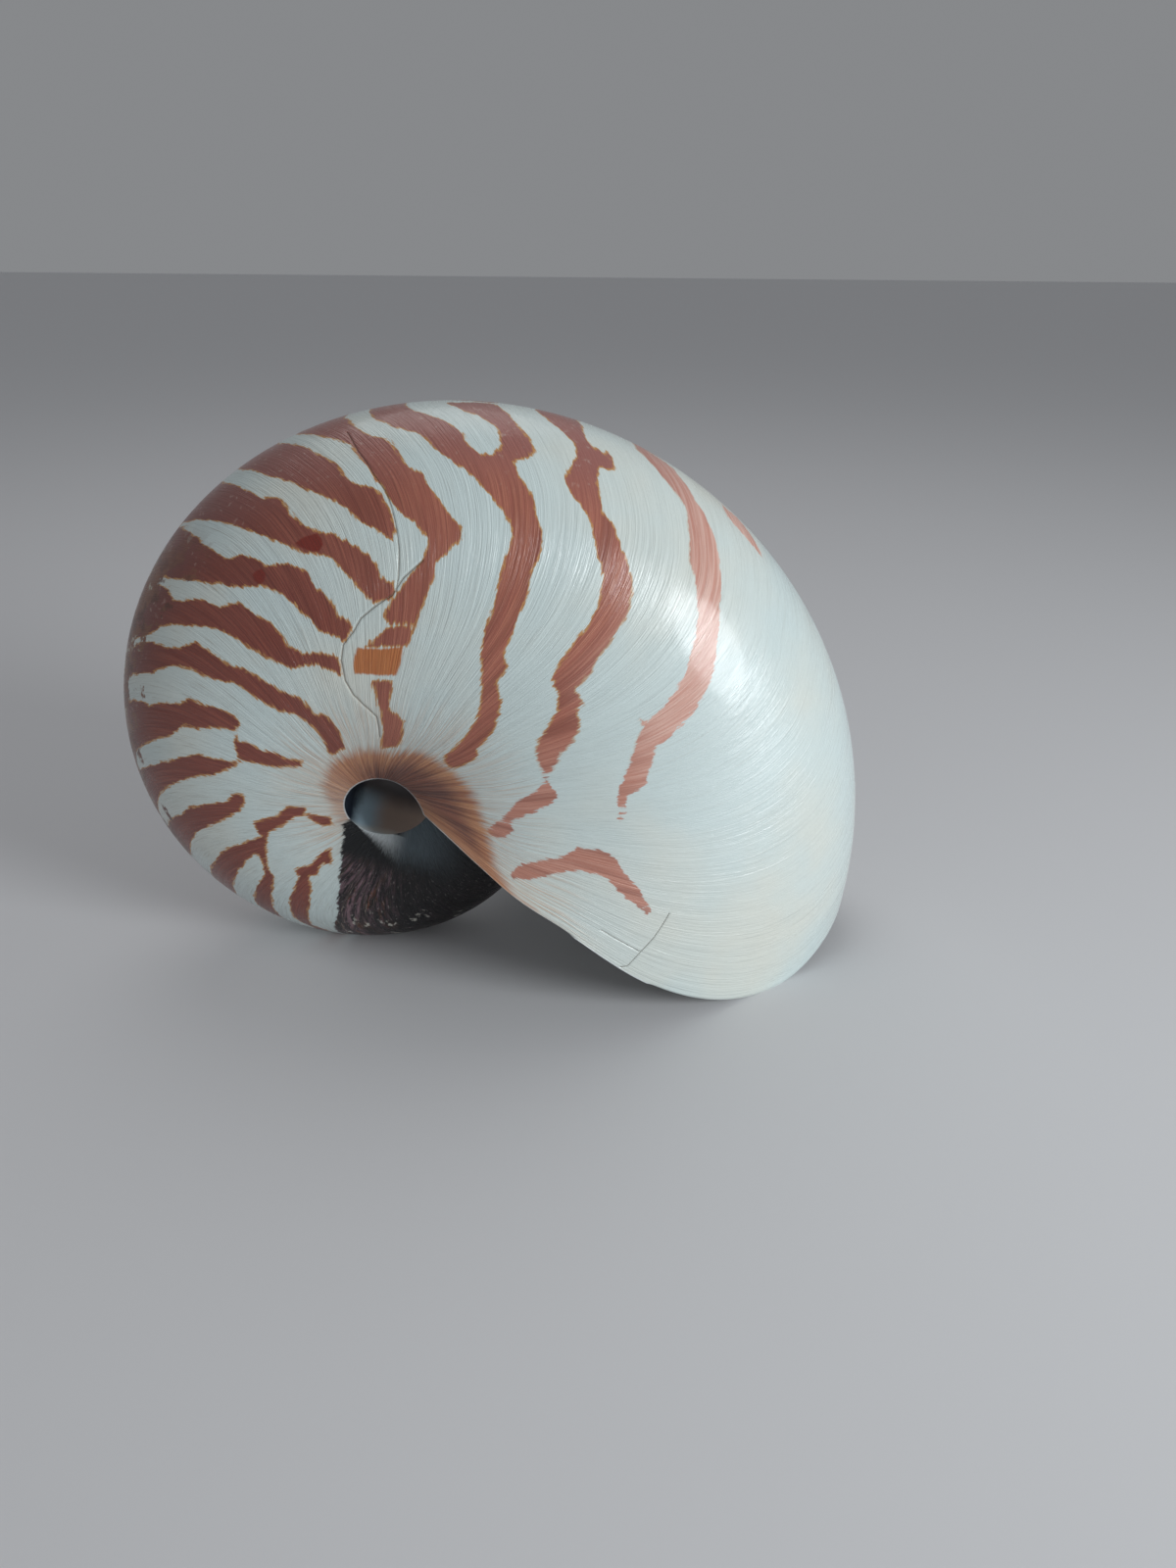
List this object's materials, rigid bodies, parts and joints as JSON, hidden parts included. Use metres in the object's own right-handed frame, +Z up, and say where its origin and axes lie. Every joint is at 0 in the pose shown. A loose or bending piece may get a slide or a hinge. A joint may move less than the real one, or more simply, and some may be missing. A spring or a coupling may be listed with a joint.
{
  "type": "nautilus shell",
  "caption": "Chambered nautilus shell: a flattened spiral whorl with an open living chamber, resting on its coil and its lip.",
  "frame": {"origin": "on the surface that the shell rests on, under the middle of its outer box", "axes": "+X along the longest side, from the coil towards the mouth; +Y along the coil's axis, across the shell; +Z up"},
  "size_m": [0.1593, 0.0808, 0.1193],
  "materials": {
    "shell": "gloss"
  },
  "bodies": {
    "root": {"shell": "shell"}
  },
  "joints": []
}
